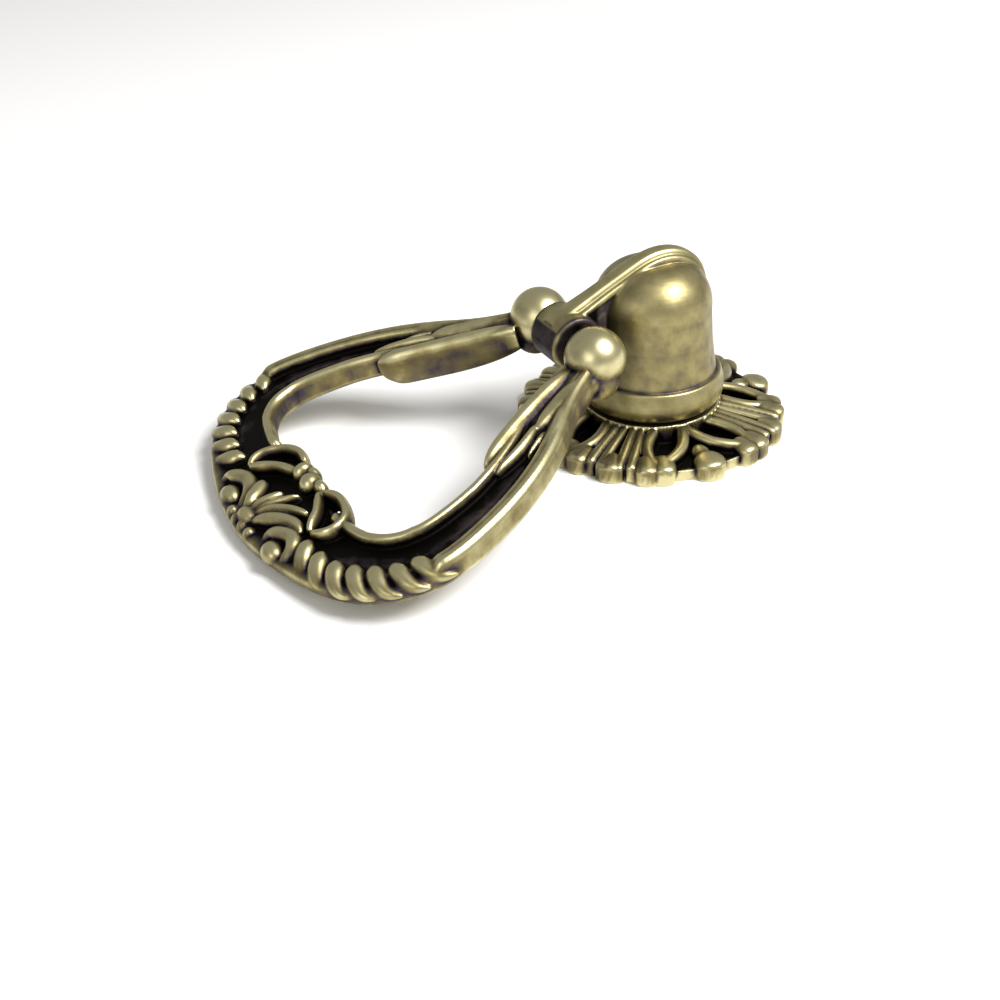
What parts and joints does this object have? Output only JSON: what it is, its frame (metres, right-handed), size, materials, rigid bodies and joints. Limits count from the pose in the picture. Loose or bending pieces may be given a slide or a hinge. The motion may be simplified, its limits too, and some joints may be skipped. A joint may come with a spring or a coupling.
{
  "type": "ring pull handle",
  "caption": "Antique drop ring pull: a channelled, beaded ring hangs by a pin from a domed post on a flower-shaped backplate.",
  "frame": {"origin": "middle of the backplate's back face, on the post's axis, where it lies on the drawer front", "axes": "+Z out of the drawer front along the post, -Y the way the ring hangs, X along the hinge pin"},
  "size_m": [0.0568, 0.0808, 0.026],
  "materials": {
    "antique_brass": "antique brass plate, dark patina in the hollows, rubbed bright on the edges",
    "pin_steel": "brass-plated steel pin"
  },
  "bodies": {
    "mount_body": {"backplate": "antique_brass", "post": "antique_brass"},
    "pull": {"pull_ring": "antique_brass", "hinge_pin": "pin_steel"}
  },
  "joints": [
    {"name": "ring_swing", "type": "hinge", "parent": "mount_body", "child": "pull", "pos_m": [0, -0.0135, 0.0163], "axis": [-1, 0, 0], "range_deg": [0, 212]}
  ]
}
